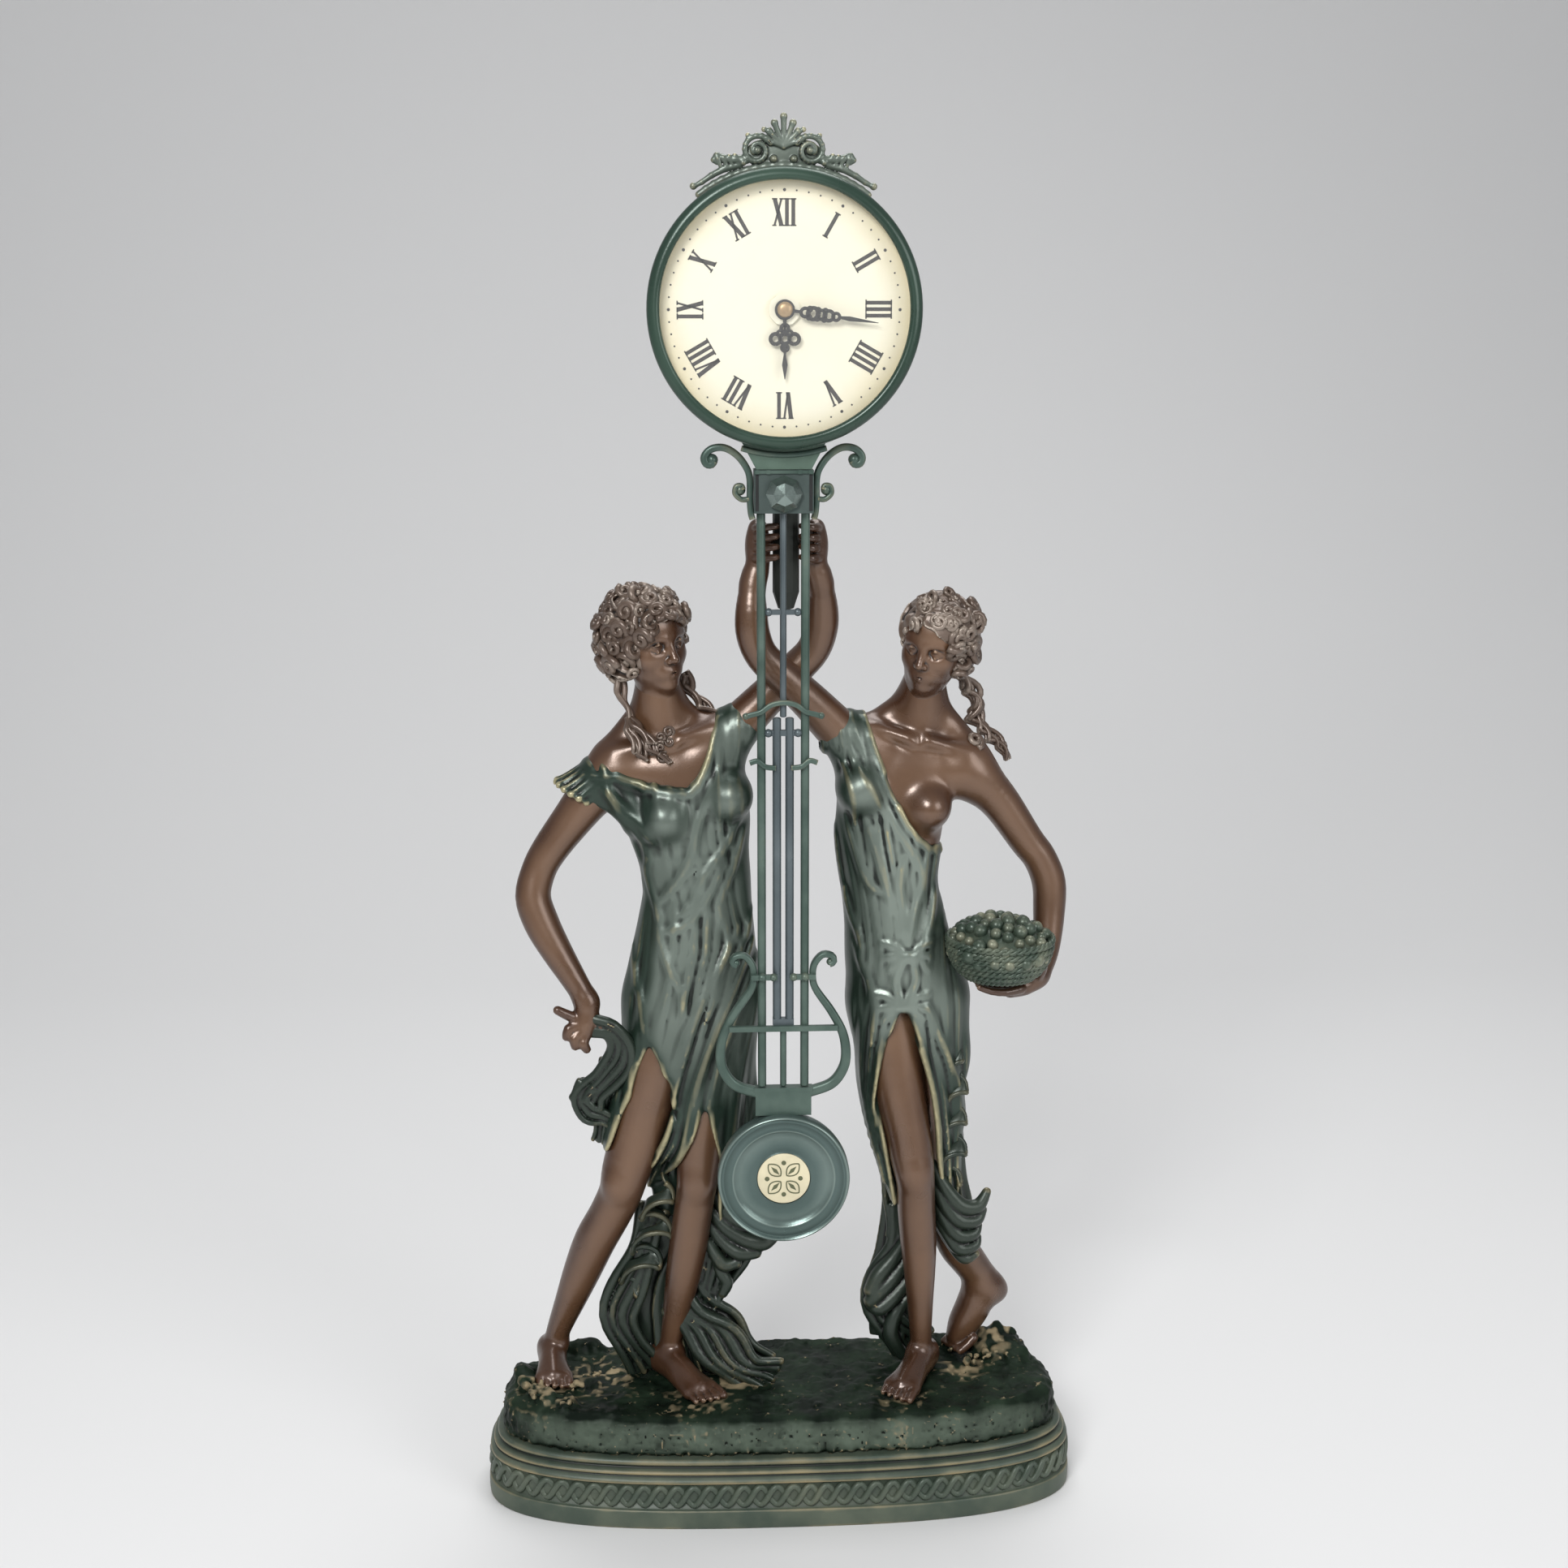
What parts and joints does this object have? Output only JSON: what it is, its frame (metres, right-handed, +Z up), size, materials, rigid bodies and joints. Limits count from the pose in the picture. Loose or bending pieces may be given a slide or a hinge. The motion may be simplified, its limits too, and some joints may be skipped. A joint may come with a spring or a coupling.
{
  "type": "figural table clock",
  "caption": "Figural table clock: two draped standing figures on an oval plinth hold the pivot of a rocking clock with a round dial above and a lyre pendulum below.",
  "frame": {"origin": "middle of the plinth's underside", "axes": "+Z up, +X to the viewer's right, the dial faces -Y"},
  "size_m": [0.31, 0.114, 0.7001],
  "materials": {
    "skin": "satin",
    "drapery": "satin",
    "ground": "satin",
    "felt": "matte",
    "fruit": "satin",
    "stem": "satin",
    "steel": "satin",
    "brass": "satin",
    "bracket": "satin",
    "shell": "satin",
    "lens": "gloss",
    "dial": "satin",
    "movement": "matte",
    "cell": "satin",
    "hands": "satin",
    "rods": "satin",
    "inner_rods": "satin",
    "bob": "satin"
  },
  "bodies": {
    "stand": {"left_figure_head": "skin", "left_figure_raised_arm": "skin", "left_figure_lowered_arm": "skin", "left_figure_outer_leg": "skin", "left_figure_inner_leg": "skin", "right_figure_head": "skin", "right_figure_raised_arm": "skin", "right_figure_basket_arm": "skin", "right_figure_standing_leg": "skin", "right_figure_trailing_leg": "skin", "left_figure_dress": "drapery", "left_figure_scarf": "drapery", "left_figure_train": "drapery", "right_figure_dress": "drapery", "right_figure_train": "drapery", "base_plinth": "ground", "base_mound": "ground", "base_cover": "felt", "basket": "fruit", "fruit_heap": "fruit", "support_stem": "stem", "pivot_pin": "steel", "retaining_clip": "steel"},
    "swing": {"pivot_bush": "brass", "movement_nut": "brass", "pivot_block": "bracket", "pivot_rosette": "bracket", "horn_bracket_left": "bracket", "horn_bracket_right": "bracket", "drum_saddle": "bracket", "drum_case": "shell", "bezel": "shell", "crest": "shell", "lens": "lens", "dial": "dial", "bob_roundel": "dial", "movement_case": "movement", "movement_back": "movement", "battery": "cell", "outer_rod_left": "rods", "outer_rod_right": "rods", "lower_centre_rod": "rods", "arch_bridge": "rods", "wave_clip_left": "rods", "wave_clip_right": "rods", "lyre_frame": "rods", "centre_rod": "inner_rods", "inner_rods": "inner_rods", "bob_front": "bob", "bob_back": "bob"},
    "rear_cover": {"rear_cover": "shell"},
    "minute_hand": {"minute_hand": "hands", "minute_arbor": "steel", "hand_nut": "brass"},
    "hour_hand": {"hour_hand": "hands", "hour_wheel": "brass"},
    "set_knob": {"minute_wheel": "brass", "set_knob": "movement"},
    "drive_pendulum": {"drive_pendulum": "brass"}
  },
  "joints": [
    {"name": "swing_rock", "type": "hinge", "parent": "stand", "child": "swing", "pos_m": [0, -0.036, 0.5278], "axis": [0, 1, 0], "range_deg": [-6, 6]},
    {"name": "minute_hand_turn", "type": "hinge", "parent": "swing", "child": "minute_hand", "pos_m": [0, -0.052, 0.6123], "axis": [0, 1, 0], "continuous": true},
    {"name": "hour_hand_turn", "type": "hinge", "parent": "swing", "child": "hour_hand", "pos_m": [0, -0.052, 0.6123], "axis": [0, 1, 0], "continuous": true},
    {"name": "set_knob_turn", "type": "hinge", "parent": "swing", "child": "set_knob", "pos_m": [0, -0.028, 0.6027], "axis": [0, 1, 0], "continuous": true},
    {"name": "drive_pendulum_rock", "type": "hinge", "parent": "swing", "child": "drive_pendulum", "pos_m": [0, -0.0385, 0.5803], "axis": [0, 1, 0], "range_deg": [-10, 10]},
    {"name": "rear_cover_pull", "type": "slide", "parent": "swing", "child": "rear_cover", "axis": [0, 1, 0], "range_m": [0, 0.03]}
  ],
  "couplings": [
    {"joint": "hour_hand_turn", "follows": "minute_hand_turn", "ratio": 0.083333},
    {"joint": "set_knob_turn", "follows": "minute_hand_turn", "ratio": -0.33333}
  ]
}
